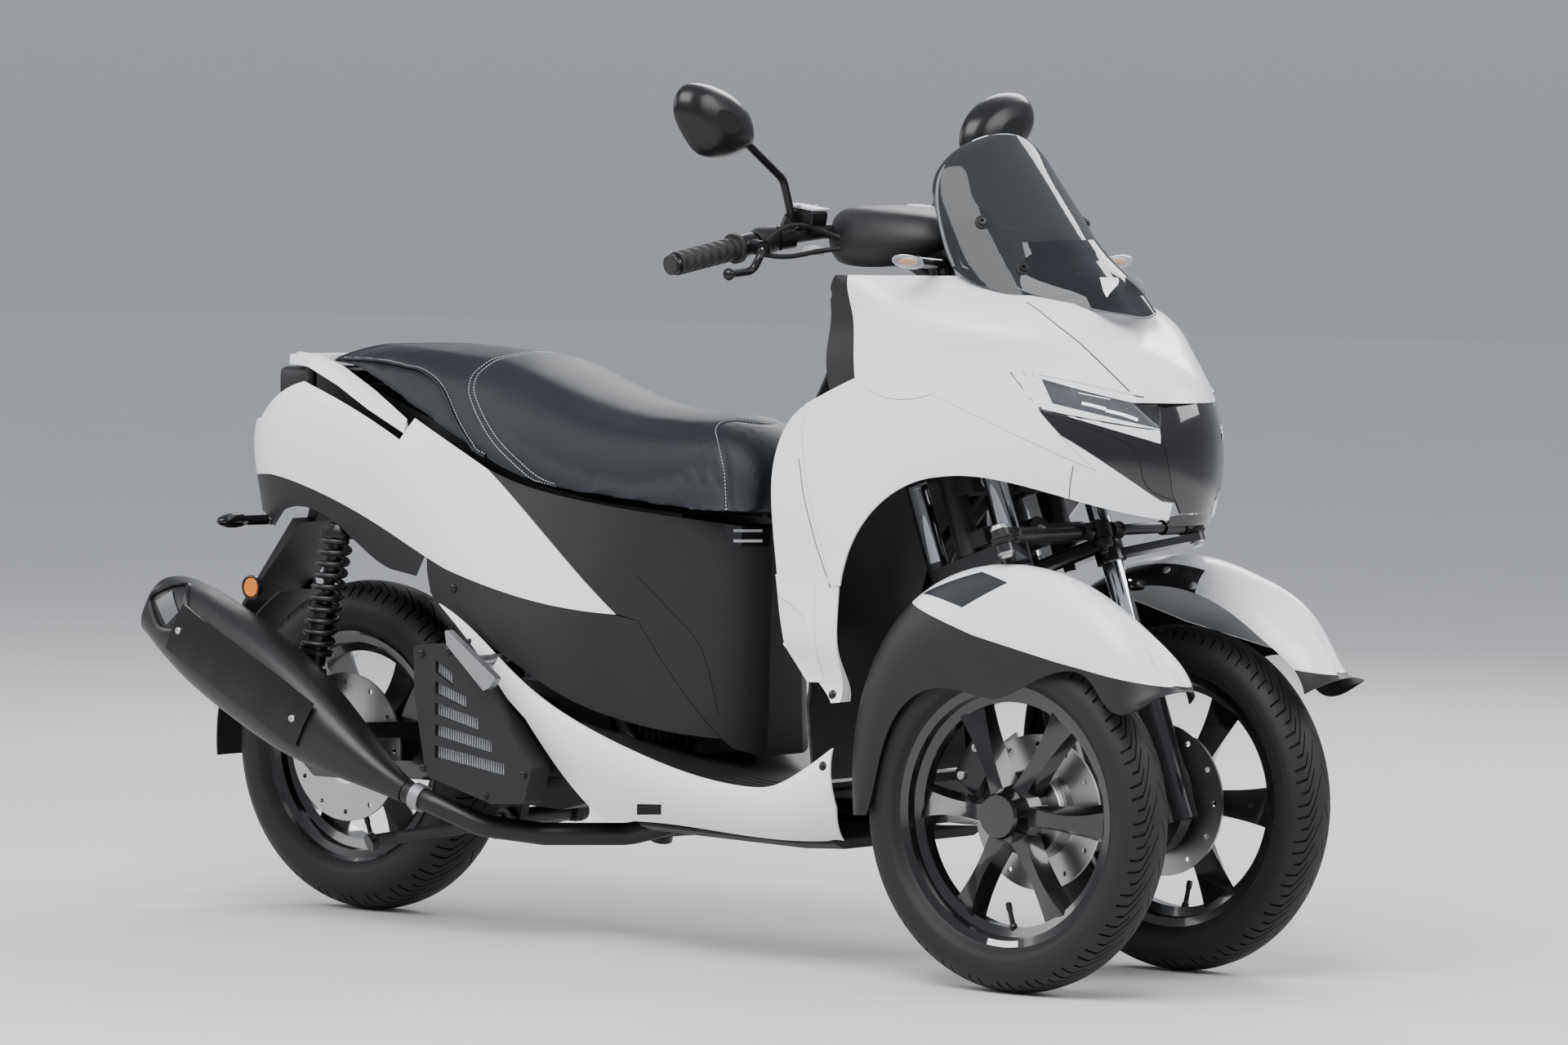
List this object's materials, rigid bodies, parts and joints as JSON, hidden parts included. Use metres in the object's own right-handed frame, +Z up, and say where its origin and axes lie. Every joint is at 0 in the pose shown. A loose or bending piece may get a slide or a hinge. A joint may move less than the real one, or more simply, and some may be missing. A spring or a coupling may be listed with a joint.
{
  "type": "leaning three-wheel scooter",
  "caption": "Step-through scooter with paired front wheels on steered twin-tube forks and a single driven rear wheel, long seat over a storage box.",
  "frame": {"origin": "centre of the footprint on the ground, at the bounding box's bottom centre", "axes": "+X forward, +Y to the rider's left, +Z up"},
  "size_m": [1.9953, 0.8146, 1.2705],
  "materials": {
    "white_paint": "satin painted plastic",
    "dark_plastic": "matt moulded plastic",
    "gloss_black": "gloss black plastic",
    "tyre_rubber": "rubber",
    "grip_rubber": "rubber",
    "black_alloy": "gloss black paint on alloy",
    "bare_alloy": "cast, grey",
    "steel": "bright steel",
    "black_steel": "black paint on steel",
    "seat_vinyl": "blue-black vinyl",
    "clear_lens": "clear lens",
    "smoked_screen": "smoked",
    "red_lens": "red lens"
  },
  "bodies": {
    "chassis": {"air_box": "dark_plastic", "belly_cover": "dark_plastic", "body_cover": "dark_plastic", "cockpit_deck": "dark_plastic", "engine_block": "bare_alloy", "exhaust": "black_steel", "floor_board": "dark_plastic", "floor_side_panels": "white_paint", "frame": "black_steel", "front_cowl": "white_paint", "front_side_panels": "white_paint", "grab_rail": "white_paint", "headlight_lenses": "clear_lens", "inner_leg_shield": "dark_plastic", "lean_arms": "black_steel", "meter": "dark_plastic", "nose_lens": "gloss_black", "nose_trim": "dark_plastic", "passenger_pegs": "black_alloy", "radiator_core": "bare_alloy", "radiator_cover": "dark_plastic", "rear_arm": "black_alloy", "rear_mudguard": "dark_plastic", "rear_shocks": "black_steel", "side_covers": "dark_plastic", "storage_box": "dark_plastic", "tail_covers": "white_paint", "tail_lamp": "red_lens", "transmission_case": "black_alloy", "turn_signals": "clear_lens", "under_tail": "dark_plastic", "windscreen": "smoked_screen"},
    "handlebar": {"handlebar": "black_steel", "grips": "grip_rubber", "brake_levers": "bare_alloy", "mirrors": "gloss_black", "handlebar_cover": "dark_plastic"},
    "tie_rods": {"tie_rods": "black_steel"},
    "knuckle_right": {"fork_right": "black_steel", "fender_upper_right": "white_paint", "fender_lower_right": "dark_plastic"},
    "knuckle_left": {"fork_left": "black_steel", "fender_upper_left": "white_paint", "fender_lower_left": "dark_plastic"},
    "front_wheel_right": {"front_rim_right": "black_alloy", "front_tyre_right": "tyre_rubber", "front_disc_right": "steel"},
    "front_wheel_left": {"front_rim_left": "black_alloy", "front_tyre_left": "tyre_rubber", "front_disc_left": "steel"},
    "rear_wheel": {"rear_rim": "black_alloy", "rear_tyre": "tyre_rubber", "rear_disc": "steel"},
    "seat": {"seat": "seat_vinyl"},
    "centre_stand": {"centre_stand": "black_steel"},
    "side_stand": {"side_stand": "black_steel"}
  },
  "joints": [
    {"name": "steering", "type": "hinge", "parent": "chassis", "child": "handlebar", "pos_m": [0.7755, 0, 0], "axis": [-0.342, 0, 0.9397], "range_deg": [-35, 35]},
    {"name": "kingpin_right", "type": "hinge", "parent": "chassis", "child": "knuckle_right", "pos_m": [0.7755, -0.11, 0], "axis": [-0.342, 0, 0.9397], "range_deg": [-35, 35]},
    {"name": "kingpin_left", "type": "hinge", "parent": "chassis", "child": "knuckle_left", "pos_m": [0.7755, 0.11, 0], "axis": [-0.342, 0, 0.9397], "range_deg": [-35, 35]},
    {"name": "tie_rod_pivot", "type": "hinge", "parent": "handlebar", "child": "tie_rods", "pos_m": [0.70348, 0, 0.6306], "axis": [-0.342, 0, 0.9397], "range_deg": [-35, 35]},
    {"name": "front_wheel_right_spin", "type": "hinge", "parent": "knuckle_right", "child": "front_wheel_right", "pos_m": [0.7075, -0.195, 0.25], "axis": [0, 1, 0], "continuous": true},
    {"name": "front_wheel_left_spin", "type": "hinge", "parent": "knuckle_left", "child": "front_wheel_left", "pos_m": [0.7075, 0.195, 0.25], "axis": [0, 1, 0], "continuous": true},
    {"name": "rear_wheel_spin", "type": "hinge", "parent": "chassis", "child": "rear_wheel", "pos_m": [-0.7025, 0, 0.256], "axis": [0, 1, 0], "continuous": true},
    {"name": "seat_hinge", "type": "hinge", "parent": "chassis", "child": "seat", "pos_m": [0.1235, 0, 0.638], "axis": [0, 1, 0], "range_deg": [0, 55]},
    {"name": "centre_stand_pivot", "type": "hinge", "parent": "chassis", "child": "centre_stand", "pos_m": [-0.3505, 0, 0.17], "axis": [0, -1, 0], "range_deg": [0, 95]},
    {"name": "side_stand_pivot", "type": "hinge", "parent": "chassis", "child": "side_stand", "pos_m": [-0.0425, 0.162, 0.172], "axis": [0, -1, 0], "range_deg": [0, 95]}
  ],
  "couplings": [
    {"joint": "kingpin_right", "follows": "steering", "ratio": 1},
    {"joint": "kingpin_left", "follows": "steering", "ratio": 1},
    {"joint": "tie_rod_pivot", "follows": "steering", "ratio": -0.49}
  ]
}
